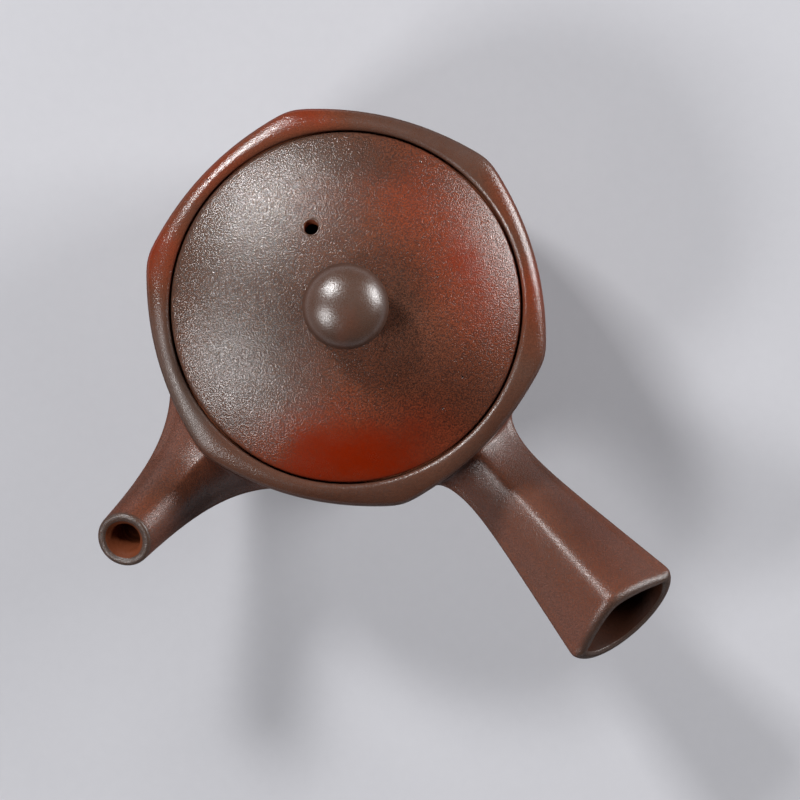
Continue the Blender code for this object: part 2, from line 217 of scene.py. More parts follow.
class Tone:
    """A number or colour inside a material, which works in plain Python sums."""

    def __init__(self, finish, socket):
        self.finish = finish
        self.socket = socket

    def sum(self, operation, first, second):
        return self.finish.node("ShaderNodeMath", {"operation": operation}, {0: first, 1: second})

    def __add__(self, other):
        return self.sum("ADD", self, other)

    __radd__ = __add__

    def __sub__(self, other):
        return self.sum("SUBTRACT", self, other)

    def __rsub__(self, other):
        return self.sum("SUBTRACT", other, self)

    def __mul__(self, other):
        return self.sum("MULTIPLY", self, other)

    __rmul__ = __mul__


class Finish:
    """A material being mixed. Its patterns read the teapot's own space, in millimetres."""

    def __init__(self, name):
        self.material = bpy.data.materials.new(name)
        self.material.use_nodes = True
        self.tree = self.material.node_tree
        self.shader = self.tree.nodes["Principled BSDF"]
        place = self.node("ShaderNodeTexCoord", out="Object")
        scale = (1 / MM,) * 3
        self.place = self.node("ShaderNodeMapping", {}, {
            "Vector": place, "Rotation": (0, 0, -STUDIO_TURN), "Scale": scale})
        self.upright = self.node("ShaderNodeMapping", {}, {"Vector": place, "Scale": scale})

    def node(self, kind, settings=None, sockets=None, out=0):
        node = self.tree.nodes.new(kind)
        for name, value in (settings or {}).items():
            if name == "stops":
                self.set_stops(node.color_ramp, value)
            else:
                setattr(node, name, value)
        for name, value in (sockets or {}).items():
            if isinstance(value, Tone):
                self.tree.links.new(value.socket, node.inputs[name])
            else:
                node.inputs[name].default_value = value
        return Tone(self, node.outputs[out])

    def set_stops(self, ramp, stops):
        while len(ramp.elements) < len(stops):
            ramp.elements.new(1)
        for element, (position, colour) in zip(ramp.elements, stops):
            element.position = position
            element.color = colour

    def noise(self, scale, detail=2.0, roughness=0.5, warp=0.0):
        return self.node("ShaderNodeTexNoise", {}, {
            "Vector": self.place, "Scale": scale, "Detail": detail,
            "Roughness": roughness, "Distortion": warp})

    def grooves(self, scale, detail):
        """Level rings from a tool or fingers, which change with height alone."""
        level = self.node("ShaderNodeSeparateXYZ", {}, {0: self.upright}, out="Z")
        return self.node("ShaderNodeTexNoise", {"noise_dimensions": "1D"}, {
            "W": level, "Scale": scale, "Detail": detail})

    def ease(self, value, low, high):
        """0 below low, 1 above high, and a soft change between."""
        return self.node("ShaderNodeMapRange", {"interpolation_type": "SMOOTHSTEP"}, {
            "Value": value, "From Min": low, "From Max": high, "To Min": 0.0, "To Max": 1.0})

    def blend(self, first, second, share):
        settings = {"data_type": "RGBA"}
        return self.node("ShaderNodeMix", settings, {0: share, 6: first, 7: second}, out=2)

    def shade(self, colour, share, depth):
        """Multiplies a colour by a darker one where share is 1."""
        settings = {"data_type": "RGBA", "blend_type": "MULTIPLY"}
        return self.node("ShaderNodeMix", settings, {0: share, 6: colour, 7: depth}, out=2)

    def spot(self, centre, size, turn):
        """1 in the middle of a soft round or oval patch, 0 outside it, in millimetres."""
        local = self.node("ShaderNodeMapping", {"vector_type": "TEXTURE"}, {
            "Vector": self.wavering, "Location": centre,
            "Rotation": (0, 0, math.radians(turn)), "Scale": size})
        out = self.node("ShaderNodeVectorMath", {"operation": "LENGTH"}, {0: local}, out="Value")
        return 1 - self.ease(out, 0.0, 1.0)

    def past(self, centre, direction, soft):
        """1 beyond a plane through centre, 0 before it, with an edge of soft millimetres."""
        local = self.node("ShaderNodeVectorMath", {"operation": "SUBTRACT"}, {
            0: self.upright, 1: centre})
        out = self.node("ShaderNodeVectorMath", {"operation": "DOT_PRODUCT"}, {
            0: local, 1: direction}, out="Value")
        return self.ease(out + 0.5 * (self.noise(0.5) - 0.5), -soft, soft)

    def waver(self, reach):
        """Lets the edges of the patches wander by up to reach, as smoke does."""
        drift = self.node("ShaderNodeTexNoise", {}, {
            "Vector": self.place, "Scale": 0.06, "Detail": 2.0}, out="Color")
        centred = self.node("ShaderNodeVectorMath", {"operation": "SUBTRACT"}, {
            0: drift, 1: (0.5, 0.5, 0.5)})
        scaled = self.node("ShaderNodeVectorMath", {"operation": "SCALE"}, {
            0: centred, "Scale": 2 * reach})
        self.wavering = self.node("ShaderNodeVectorMath", {"operation": "ADD"}, {
            0: self.place, 1: scaled})

    def height(self, amount, reach, under=None):
        """Adds relief, reach metres high, over the relief that is there already."""
        sockets = {"Strength": 1.0, "Distance": reach, "Height": amount}
        if under:
            sockets["Normal"] = under
        return self.node("ShaderNodeBump", {}, sockets)

    def facing_up(self, low, high):
        """1 where the surface looks up, 0 where it is steep."""
        normal = self.node("ShaderNodeTexCoord", out="Normal")
        return self.ease(self.node("ShaderNodeSeparateXYZ", {}, {0: normal}, out="Z"), low, high)

    def under(self, share, **sockets):
        """Puts a second shader under the first one, which keeps only its share."""
        rubbed = self.shader
        self.shader = self.tree.nodes.new("ShaderNodeBsdfPrincipled")
        self.feed(**sockets)
        mix = self.tree.nodes.new("ShaderNodeMixShader")
        self.tree.links.new(share.socket, mix.inputs[0])
        self.tree.links.new(self.shader.outputs[0], mix.inputs[1])
        self.tree.links.new(rubbed.outputs[0], mix.inputs[2])
        self.tree.links.new(mix.outputs[0], self.tree.nodes["Material Output"].inputs["Surface"])
        return self.material

    def feed(self, **sockets):
        for name, value in sockets.items():
            socket = self.shader.inputs[name.replace("_", " ")]
            if isinstance(value, Tone):
                self.tree.links.new(value.socket, socket)
            else:
                socket.default_value = value
        return self.material


def smoked_clay(name, smoke, marks, grain=1.0, gloss=0.25, polish=1.72, dulling=-0.05, deep=(),
                lips=(), rings=0.0):
    """Burnished clay, with patches that the flame kept red or smoke greyed.

    smoke is the general smoking from 0, flame red, to 1, grey-brown, and marks are the
    patches that lie below or above it. grain is how strongly the fine orange-peel surface
    stands out, and rings how strongly the turning marks do. gloss is the skin's roughness,
    polish its index of refraction, and dulling how much rougher smoke left it. deep has
    darker patches, painted shade where they lie on sides away from the lamps, and lips has
    planes past which soot covers everything. Steep faces get a matt copy of the skin whose
    colour is darkened: painted shade.
    """
    finish = Finish(name)
    finish.waver(7.0)
    cloud = finish.noise(0.035, 3.0, warp=0.6)
    amount = smoke + 0.30 * (cloud - 0.5)
    for centre, size, turn, strength in marks:
        amount = amount + strength * finish.spot(centre, size, turn)
    fleck = finish.noise(1.1, 3.0)
    amount = amount + 0.16 * (fleck - 0.5)
    colour = finish.node("ShaderNodeValToRGB", {"stops": (
        (0.0, FLAME), (0.25, BRICK), (0.5, RED_BROWN), (0.75, BROWN), (1.0, GREY_BROWN),
    )}, {"Fac": amount})
    # Darker patches: painted shade where they lie on sides away from the lamps
    for centre, size, turn, strength in deep:
        colour = finish.shade(colour, strength * finish.spot(centre, size, turn), SHADE_AND_DARKENING)
    for centre, direction, soft, strength in lips:
        colour = finish.blend(colour, SOOT, strength * finish.past(centre, direction, soft))

    peel = finish.noise(3.0, 1.2, roughness=0.55)
    fine = finish.noise(6.0, 1.0)
    skin = finish.noise(0.22, 2.0)
    pepper = finish.node("ShaderNodeTexVoronoi", {"feature": "F1"}, {
        "Vector": finish.place, "Scale": 0.16})
    pit = (1 - finish.ease(pepper, 0.02, 0.055)) * finish.ease(finish.noise(0.11), 0.52, 0.58)
    rough_skin = 0.12 + 0.88 * finish.ease(amount, 0.02, 0.34)
    # The skin's colour is darker in the peel's hollows and lighter on its bumps: painted shade and
    # light on the relief, on top of the grain's own uneven tone
    low, high = 1 - 0.56 * grain ** 2, 1 + 0.46 * grain ** 2
    bumps = finish.ease(peel, 0.37, 0.63)
    relief_shade_and_tone = finish.blend((low, low * 0.94, low * 0.90, 1), (high, high, high, 1), bumps)
    colour = finish.shade(colour, rough_skin, relief_shade_and_tone)
    colour = finish.shade(colour, pit, PIT)

    normal = finish.height(skin, SKIN_RELIEF)
    normal = finish.height((peel - 0.5) * rough_skin, PEEL_RELIEF * grain, normal)
    normal = finish.height(fine, FINE_RELIEF * grain, normal)
    if rings:
        normal = finish.height(finish.grooves(2.2, 3.0), TURNING_RELIEF * rings, normal)
    normal = finish.height(1 - pit, PIT_RELIEF, normal)
    roughness = gloss + 0.12 * (skin - 0.5) + dulling * finish.ease(amount, 0.6, 1.0)
    roughness = roughness + 0.24 * grain * rough_skin * (0.42 - bumps)
    finish.feed(Base_Color=colour, Roughness=roughness, Normal=normal, IOR=polish)
    # Steep faces get a matt copy of the skin with its colour darkened: painted shade on the walls
    colour = finish.shade(colour, 1.0, STEEP_PAINTED_SHADE)
    return finish.under(finish.facing_up(0.40, 0.72), Base_Color=colour,
                        Roughness=MATT_ROUGHNESS, Normal=normal, IOR=MATT_INDEX)


def raw_clay(name, tone=RAW_RED, pale=RAW_PALE):
    """Clay that the smoke didn't reach: matt, sandy and a little uneven."""
    finish = Finish(name)
    cloud = finish.noise(0.08, 3.0)
    sand = finish.noise(2.6, 2.0)
    colour = finish.blend(tone, pale, 0.6 * cloud + 0.5 * (sand - 0.4))
    normal = finish.height(finish.grooves(0.9, 2.0), THROWING_RELIEF)
    normal = finish.height(sand, SAND_RELIEF, normal)
    roughness = 0.62 + 0.16 * (sand - 0.5)
    return finish.feed(Base_Color=colour, Roughness=roughness, Normal=normal, IOR=MATT_INDEX)


def floor_plaster():
    """Pale, slightly cloudy plaster, whose shadows the camera sees a little lighter."""
    finish = Finish("floor_plaster")
    cloud = finish.noise(0.02, 4.0)
    fine = finish.noise(0.35, 3.0)
    darker, paler = (0.43, 0.43, 0.456, 1), (0.51, 0.51, 0.536, 1)
    colour = finish.blend(darker, paler, 0.7 * cloud + 0.3 * fine)
    seen = finish.node("ShaderNodeLightPath", out="Is Camera Ray")
    glow = finish.blend((0, 0, 0, 1), (0.14, 0.14, 0.152, 1), seen)
    return finish.feed(Base_Color=colour, Roughness=0.8, Emission_Color=glow,
                       Emission_Strength=1.0)


# Working the clay


def take(name, primitive, **settings):
    """A new piece from a primitive, in edit mode with all of it selected."""
    bpy.ops.object.select_all(action="DESELECT")
    primitive(**settings)
    piece = bpy.context.object
    piece.name = piece.data.name = name
    bpy.ops.object.transform_apply(location=True, rotation=True, scale=True)
    bpy.ops.object.mode_set(mode="EDIT")
    bpy.ops.mesh.select_all(action="SELECT")
    return piece


def pick(piece, wanted, kind="verts"):
    """Selects the vertices, edges or faces that wanted says yes to."""
    bpy.ops.mesh.select_all(action="DESELECT")
    mesh = bmesh.from_edit_mesh(piece.data)
    for part in getattr(mesh, kind):
        if wanted(part):
            part.select_set(True)
    mesh.select_flush_mode()
    bmesh.update_edit_mesh(piece.data)


def picked(piece):
    return [v.co.copy() for v in bmesh.from_edit_mesh(piece.data).verts if v.select]


def lean_over(angle, centre):
    """Tips what is selected up by an angle, about a line along Y."""
    bpy.ops.transform.rotate(value=angle, orient_axis="Y", center_override=centre)


def throw(start, profile):
    """Pulls an open ring through (radius, height) points, as on a wheel."""
    radius, height = start
    for wider, higher in profile:
        bpy.ops.mesh.extrude_edges_move(TRANSFORM_OT_translate={"value": (0, 0, higher - height)})
        scale = wider / radius
        bpy.ops.transform.resize(value=(scale, scale, 1), center_override=(0, 0, higher))
        radius, height = wider, higher


def close_to_point():
    bpy.ops.mesh.merge(type="CENTER")


def harden(piece, kind, **settings):
    """Adds a modifier and applies it."""
    modifier = piece.modifiers.new(kind.lower(), kind)
    for name, value in settings.items():
        setattr(modifier, name, value)
    bpy.context.view_layer.objects.active = piece
    bpy.ops.object.modifier_apply(modifier=modifier.name)


def leave_leather_hard(piece):
    """Leaves edit mode with one clean closed skin, smoothed."""
    bpy.ops.mesh.select_all(action="SELECT")
    bpy.ops.mesh.remove_doubles(threshold=0.00001)
    bpy.ops.mesh.normals_make_consistent(inside=False)
    bpy.ops.object.mode_set(mode="OBJECT")
    harden(piece, "SUBSURF", levels=1, render_levels=1)


def cut_away(piece, cutter):
    harden(piece, "BOOLEAN", operation="DIFFERENCE", solver="EXACT", object=cutter)
    bpy.data.objects.remove(cutter, do_unlink=True)


def place_piece(piece, body, slot, *nodes):
    """Smooths a finished piece, hangs it on its body and hides the solids that it stands in for.
    slot is not used.
    """
    bpy.ops.object.select_all(action="DESELECT")
    piece.select_set(True)
    bpy.context.view_layer.objects.active = piece
    bpy.ops.object.shade_smooth_by_angle(angle=math.radians(38))
    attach(piece, body)
    if nodes:
        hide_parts(*nodes)


def quarter(count):
    """Turns from just past 0 to a right angle."""
    return [math.pi / 2 * (i + 1) / count for i in range(count)]


# Pot


class PotRing:
    """The open edge of the pot's wall, whose reach is a share of the plan plus an inset."""

    def __init__(self, piece):
        reaches = [co.xy.length for co in picked(piece)]
        self.mean = sum(reaches) / len(reaches)
        shortest, longest = min(reaches), max(reaches)
        self.bow = (CORNER_REACH - SIDE_REACH) / (longest - shortest)
        self.base = SIDE_REACH - self.bow * shortest
        self.share, self.inset, self.height = 1.0, 0.0, 0.0

    def pull(self, height, share, inset=0.0, extrude=True):
        flatness = share * self.bow
        inset = share * self.base + inset
        if extrude:
            move = (0, 0, height - self.height)
            bpy.ops.mesh.extrude_edges_move(TRANSFORM_OT_translate={"value": move})
        else:
            bpy.ops.transform.translate(value=(0, 0, height - self.height))
        centre = (0, 0, height)
        grow = (flatness * self.mean + inset) / (self.share * self.mean + self.inset)
        keep = flatness / self.share if self.share else 1.0
        rounding = max(0.0, 1 - keep / grow)
        if rounding > 0.0001 and self.share:
            bpy.ops.transform.tosphere(value=rounding, center_override=centre)
        bpy.ops.transform.resize(value=(grow, grow, 1), center_override=centre)
        self.share, self.inset, self.height = flatness, inset, height


def belly_share(height):
    """Width of the wall at a height, as a share of the full plan."""
    if height <= BELLY_Z:
        swell = math.sin(math.pi / 2 * height / BELLY_Z) ** BELLY_FULLNESS
        return FOOT_SHARE + (1 - FOOT_SHARE) * swell
    return 1 - SHOULDER_DRAW * ((height - BELLY_Z) / (SHOULDER_Z - BELLY_Z)) ** 2


def six_sided_ring(name, height, share, inset):
    """An open six-sided ring with bowed sides and softened corners."""
    piece = take(name, bpy.ops.mesh.primitive_circle_add, vertices=6, radius=CORNER_REACH)
    bpy.ops.mesh.subdivide(number_cuts=RING_CUTS)
    ring = PotRing(piece)
    ring.pull(height, share, inset, extrude=False)
    corner = max(co.xy.length for co in picked(piece)) - 0.05 * MM
    pick(piece, lambda v: v.co.xy.length > corner)
    bpy.ops.mesh.select_more()
    bpy.ops.mesh.vertices_smooth(factor=0.5, repeat=2)
    bpy.ops.mesh.select_all(action="SELECT")
    return piece, ring


def pull_outside(ring):
    """The foot's bevel, the swelling wall and the roll-over to the crest of the rim."""
    ring.pull(0.35 * MM, FOOT_SHARE, -0.35 * MM)
    ring.pull(FOOT_BEVEL, belly_share(FOOT_BEVEL))
    levels = 17
    for i in range(1, levels + 1):
        height = FOOT_BEVEL + (SHOULDER_Z - FOOT_BEVEL) * i / levels
        ring.pull(height, belly_share(height))
    shoulder = belly_share(SHOULDER_Z)
    for out, below in RIM_ROLL:
        ring.pull(RIM_Z - below * MM, shoulder * out, RIM_CREST * (1 - out))


def close_below(piece):
    """Flat underside from the open foot ring to the middle."""
    low = min(v.co.z for v in bmesh.from_edit_mesh(piece.data).verts)
    pick(piece, lambda e: e.is_boundary and all(v.co.z < low + 0.01 * MM for v in e.verts), "edges")
    radius = max(co.xy.length for co in picked(piece))
    throw((radius, low), [(radius - 0.8 * MM, low), (radius * 0.5, low), (radius * 0.06, low)])
    close_to_point()


def make_wall_form():
    """The outside of the pot as a plain lump, which the spout and handle are fitted to."""
    piece, ring = six_sided_ring("wall_form", 0, FOOT_SHARE, -FOOT_BEVEL)
    pull_outside(ring)
    throw((RIM_CREST, RIM_Z), [(RIM_CREST * 0.5, RIM_Z), (RIM_CREST * 0.06, RIM_Z)])
    close_to_point()
    close_below(piece)
    leave_leather_hard(piece)
    return piece


def make_pot():
    """The wall, inside and out, with the lid's seat and the opening towards the spout."""
    piece, ring = six_sided_ring("pot_clay_wall", 0, FOOT_SHARE, -FOOT_BEVEL)
    pull_outside(ring)
    inward = RIM_CREST - SEAT_BORE
    drop = 0.93 * MM
    mouth = [(RIM_CREST - inward * math.sin(t), RIM_Z - drop * (1 - math.cos(t)))
             for t in quarter(6)]
    mouth += [(SEAT_BORE, SEAT_Z + 1.2 * MM), (SEAT_BORE, SEAT_Z + 0.35 * MM)]
    mouth += [(SEAT_BORE - 0.35 * MM, SEAT_Z), (LEDGE_BORE + 0.5 * MM, SEAT_Z)]
    mouth += [(LEDGE_BORE + 0.1 * MM, SEAT_Z - 0.15 * MM), (LEDGE_BORE, SEAT_Z - 0.6 * MM)]
    mouth += [(LEDGE_BORE, LEDGE_Z + 0.5 * MM), (LEDGE_BORE + 0.4 * MM, LEDGE_Z)]
    throw((RIM_CREST, RIM_Z), mouth)
    close_below(piece)
    bpy.ops.object.mode_set(mode="OBJECT")

    flare = belly_share(LEDGE_FLARE_Z)
    inside = six_sided_ring("pot_inside", LEDGE_FLARE_Z, flare, -POT_WALL)[0]
    wall = []
    levels = 9
    corner_z = FLOOR_Z + INSIDE_BEND
    for i in range(1, levels + 1):
        height = LEDGE_FLARE_Z + (corner_z - LEDGE_FLARE_Z) * i / levels
        wall.append((SIDE_REACH * belly_share(height) - POT_WALL, height))
    edge = wall[-1][0]
    wall += [(edge - INSIDE_BEND * (1 - math.cos(t)), corner_z - INSIDE_BEND * math.sin(t))
             for t in quarter(5)]
    wall += [(edge * 0.5, FLOOR_Z), (edge * 0.05, FLOOR_Z)]
    throw((SIDE_REACH * flare - POT_WALL, LEDGE_FLARE_Z), wall)
    close_to_point()
    bpy.ops.object.mode_set(mode="OBJECT")

    piece.select_set(True)
    inside.select_set(True)
    bpy.context.view_layer.objects.active = piece
    bpy.ops.object.join()
    bpy.ops.object.mode_set(mode="EDIT")
    pick(piece, lambda e: e.is_boundary, "edges")
    bpy.ops.mesh.bridge_edge_loops(number_cuts=3, smoothness=0.6)
    leave_leather_hard(piece)

    throat = take("throat_cutter", bpy.ops.mesh.primitive_cylinder_add, vertices=64,
                  radius=THROAT_RADIUS, depth=24 * MM, location=(43 * MM, 0, THROAT_Z),
                  rotation=(0, math.radians(90), 0))
    bpy.ops.object.mode_set(mode="OBJECT")
    throat.rotation_euler.z = SPOUT_ANGLE
    bpy.ops.object.transform_apply(rotation=True)
    cut_away(piece, throat)
    return piece


# Spout and handle


class Horn:
    """The open end of a spout or handle being pulled out along X."""

    def __init__(self, name, roof_round, roof, keel, cuts, soft_ridge=0):
        """A ridged roof over a round underside, 1 mm wide each way."""
        self.piece = take(name, bpy.ops.mesh.primitive_circle_add, vertices=4, radius=MM,
                          rotation=(0, math.radians(90), 0))
        bpy.ops.mesh.subdivide(number_cuts=cuts)
        for side, rounding, reach in ((1, roof_round, roof), (-1, 1.0, keel)):
            pick(self.piece, lambda v: v.co.z * side > 0.001 * MM)
            bpy.ops.transform.tosphere(value=rounding, center_override=(0, 0, 0))
            top = max(co.z * side for co in picked(self.piece))
            widest = 1.0
            if rounding == 1.0:
                widest = MM / top
            bpy.ops.transform.resize(value=(1, widest, reach * MM / top), center_override=(0, 0, 0))
        if soft_ridge:
            pick(self.piece, lambda v: v.co.z > 0.66 * roof * MM)
            bpy.ops.mesh.vertices_smooth(factor=0.5, repeat=soft_ridge)
        bpy.ops.mesh.select_all(action="SELECT")
        self.centre, self.lean = Vector((0, 0, 0)), 0.0
        self.width = self.rise = MM

    def pull(self, centre, lean, width, rise, rounding=0.0, extrude=True):
        """Moves the open ring to a new centre, tilt, half width and height."""
        move = centre - self.centre
        if extrude:
            bpy.ops.mesh.extrude_edges_move(TRANSFORM_OT_translate={"value": move})
        else:
            bpy.ops.transform.translate(value=move)
        lean_over(lean - self.lean, centre)
        if rounding:
            before = max(abs(co.y) for co in picked(self.piece))
            bpy.ops.transform.tosphere(value=rounding, center_override=centre)
            self.width *= max(abs(co.y) for co in picked(self.piece)) / before
        wider, higher = width / self.width, rise / self.rise
        bpy.ops.transform.resize(value=(higher, wider, higher), center_override=centre)
        self.centre, self.lean, self.width, self.rise = centre, lean, width, rise


def handle_at(along):
    """Centre, tilt and half width of the handle; along runs from inside the wall to the end."""
    sag = 10 * along * (1 - along)
    centre = Vector((41.0 + 60.5 * along, 0, 40.0 + 18.5 * along - sag)) * MM
    lean = math.radians(4 + 23 * along)
    out = centre.x / MM - 46.6              # from the wall, in millimetres
    width = (7.3 + 0.156 * out + 5.2 * math.exp(-out / 6.8)) * MM
    return centre, lean, width


def facing(lean):
    """The way that a horn's end looks out at a tilt."""
    return Vector((math.cos(lean), 0, math.sin(lean)))


def pull_handle():
    """The handle's tube, out along its skin, round its lip and back along its bore."""
    horn = Horn("handle_clay_tube", roof_round=0.30, roof=0.70, keel=0.80, cuts=HANDLE_CUTS,
                soft_ridge=3)
    lip = 2.6 * MM
    stations = [0.05 + 0.95 * i / 24 for i in range(25)]
    for i, along in enumerate(stations):
        centre, lean, width = handle_at(along)
        centre = centre - facing(lean) * lip * along
        horn.pull(centre, lean, width, width, extrude=i > 0)
    end, lean, width = handle_at(1.0)
    for turn in quarter(5):
        inset = lip * (1 - math.cos(turn))
        horn.pull(end + facing(lean) * lip * (math.sin(turn) - 1), lean, width - inset,
                  width - inset / ROOF_SLOPE)
    wall = 3.8 * MM
    for step in (0.25, 0.6, 1.0):
        inset = lip + (wall - lip) * step
        back = 0.6 * MM * step ** 2
        horn.pull(end - facing(lean) * back, lean, width - inset, width - inset / ROOF_SLOPE)
    for along in [1 - 0.95 * (i + 1) / 14 for i in range(14)]:
        centre, lean, width = handle_at(along)
        inset = (3.2 + 0.6 * along) * MM
        horn.pull(centre, lean, width - inset, width - inset / ROOF_SLOPE)
    return horn.piece


def spout_at(along):
    """Centre, tilt, half width and height of the spout."""
    start = SPOUT_ROOT.lerp(SPOUT_BEND, along)
    end = SPOUT_BEND.lerp(SPOUT_TIP, along)
    centre = start.lerp(end, along) * MM
    lean = math.radians(-8 + 72 * along)
    width = (6.2 + 10.9 * math.exp((45.2 - centre.x / MM) / 12.2)) * MM
    return centre, lean, width, width * (0.92 + 0.08 * along)


def pull_spout():
    """The spout's tube, out along its skin, round its lip and back along its bore."""
    horn = Horn("spout_clay_tube", roof_round=0.45, roof=1.0, keel=1.0, cuts=SPOUT_CUTS)
    lip = 0.9 * MM
    stations = [0.05 + 0.95 * i / 26 for i in range(27)]
    for i, along in enumerate(stations):
        centre, lean, width, rise = spout_at(along)
        centre = centre - facing(lean) * lip * along
        rounding = 0.16 if along > 0.45 else 0.03
        horn.pull(centre, lean, width, rise, rounding, extrude=i > 0)
    end, lean, width, rise = spout_at(1.0)
    for turn in quarter(5):
        inset = lip * (1 - math.cos(turn))
        horn.pull(end + facing(lean) * lip * (math.sin(turn) - 1), lean, width - inset,
                  rise - inset)
    dip = ((1.3, 0.03), (1.7, 0.12), (2.1, 0.30), (2.35, 0.65), (2.8, 1.15), (3.2, 1.5))
    for inset, back in dip:
        inset, back = inset * MM, back * MM
        horn.pull(end - facing(lean) * back, lean, width - inset, rise - inset)
    for along in [1 - 0.92 * (i + 1) / 16 for i in range(16)]:
        centre, lean, width, rise = spout_at(along)
        inset = (3.6 - 0.2 * along ** 4) * MM
        horn.pull(centre, lean, min(width - inset, BORE_LIMIT), min(rise - inset, BORE_LIMIT))
    return horn.piece


def lute_to_wall(piece, wall_form, angle, cuts, skirt_reach):
    """Turns a horn to its place, closes it and smears its foot onto the pot's wall."""
    pick(piece, lambda e: e.is_boundary, "edges")
    bpy.ops.mesh.bridge_edge_loops()
    bpy.ops.mesh.select_all(action="SELECT")
    bpy.ops.mesh.normals_make_consistent(inside=False)
    bpy.ops.object.mode_set(mode="OBJECT")
    ring = 4 * (cuts + 1)
    skirt = piece.vertex_groups.new(name="skirt")
    foot = piece.vertex_groups.new(name="foot")
    foot.add(list(range(ring)), 1, "REPLACE")
    near = [i for i in range(ring, ring * SKIRT_RINGS)
            if piece.data.vertices[i].co.x < skirt_reach]
    skirt.add(near, 1, "REPLACE")
    piece.rotation_euler.z = angle
    bpy.ops.object.transform_apply(rotation=True)
    harden(piece, "SHRINKWRAP", target=wall_form, wrap_method="NEAREST_SURFACEPOINT",
           wrap_mode="OUTSIDE", offset=SKIRT_LIFT, vertex_group="skirt")
    harden(piece, "SHRINKWRAP", target=wall_form, wrap_method="NEAREST_SURFACEPOINT",
           wrap_mode="ON_SURFACE", offset=-FOOT_SUNK, vertex_group="foot")
    harden(piece, "SUBSURF", levels=2, render_levels=2)


def line_tube(piece, place_at, angle, depth):
    """Faces past some depth that look back at the tube's own middle get its second material."""
    turn = Matrix.Rotation(angle, 3, "Z")
    middle = [turn @ place_at(i / 30)[0] for i in range(31)]
    out_of_end = turn @ facing(place_at(1.0)[1])
    for face in piece.data.polygons:
        out = face.center - min(middle, key=lambda point: (point - face.center).length)
        deep = (middle[-1] - face.center).dot(out_of_end) > depth
        if deep and out.normalized().dot(face.normal) < -0.25:
            face.material_index = 1


def sooty_lip(place_at, angle, back, soft):
    """The plane just short of a tube's end, in millimetres, past which soot covers the clay."""
    end, lean = place_at(1.0)[:2]
    turn = Matrix.Rotation(angle, 3, "Z")
    centre = turn @ (end - facing(lean) * back * MM) * (1 / MM)
    return tuple(centre), tuple(turn @ facing(lean)), soft, LIP_SOOT


def make_handle(wall_form):
    piece = pull_handle()
    lute_to_wall(piece, wall_form, HANDLE_ANGLE, HANDLE_CUTS, skirt_reach=52 * MM)
    return piece


def make_spout(wall_form):
    piece = pull_spout()
    lute_to_wall(piece, wall_form, SPOUT_ANGLE, SPOUT_CUTS, skirt_reach=54 * MM)
    return piece


# Strainer


def make_strainer(wall_form):
    """A thin pierced ball over the opening behind the spout."""
    reach = CORNER_REACH * belly_share(THROAT_Z) - POT_WALL
    centre = Vector((reach, 0, THROAT_Z))
    piece = take("strainer_ball", bpy.ops.mesh.primitive_uv_sphere_add, segments=64, ring_count=40,
                 radius=STRAINER_RADIUS, location=centre, rotation=(0, math.radians(90), 0))
    past_middle = centre + Vector((1.6 * MM, 0, 0))
    bpy.ops.mesh.bisect(plane_co=past_middle, plane_no=(1, 0, 0), clear_outer=True)
    bpy.ops.object.mode_set(mode="OBJECT")
    harden(piece, "SOLIDIFY", thickness=STRAINER_SHELL, offset=-1)

    pin = take("strainer_pin", bpy.ops.mesh.primitive_cylinder_add, vertices=12,
               radius=HOLE_RADIUS, depth=5 * MM, location=(-STRAINER_RADIUS, 0, 0),
               rotation=(0, math.radians(90), 0))
    bpy.ops.object.mode_set(mode="OBJECT")
    pins = []
    for ring in range(STRAINER_ROWS):
        count = max(1, 6 * ring)
        for i in range(count):
            copy = pin.copy()
            copy.data = pin.data.copy()
            bpy.context.scene.collection.objects.link(copy)
            turn = 2 * math.pi * (i + 0.5 * (ring % 2)) / count
            copy.rotation_euler = (turn, 0, 0)
            copy.rotation_euler.rotate_axis("Y", ROW_STEP * ring)
            copy.location = centre
            pins.append(copy)
    bpy.data.objects.remove(pin, do_unlink=True)
    bpy.ops.object.select_all(action="DESELECT")
    for copy in pins:
        copy.select_set(True)
    bpy.context.view_layer.objects.active = pins[0]
    bpy.ops.object.join()
    bpy.ops.object.transform_apply(location=True, rotation=True, scale=True)
    cut_away(piece, bpy.context.object)

    bpy.ops.object.select_all(action="DESELECT")
    piece.select_set(True)
    bpy.context.view_layer.objects.active = piece
    piece.rotation_euler.z = SPOUT_ANGLE
    bpy.ops.object.transform_apply(rotation=True)
    harden(piece, "BOOLEAN", operation="INTERSECT", solver="EXACT", object=wall_form)
    return piece


# Lid


def dome_fall(radius):
    """How far the lid's upper face has come down from its middle."""
    return radius ** 2 / DOME_CURVE + DOME_DROOP * radius ** 4


def dome_height(radius):
    """Height of the lid's upper face over its seat."""
    return LID_EDGE + dome_fall(LID_RADIUS) - dome_fall(radius)


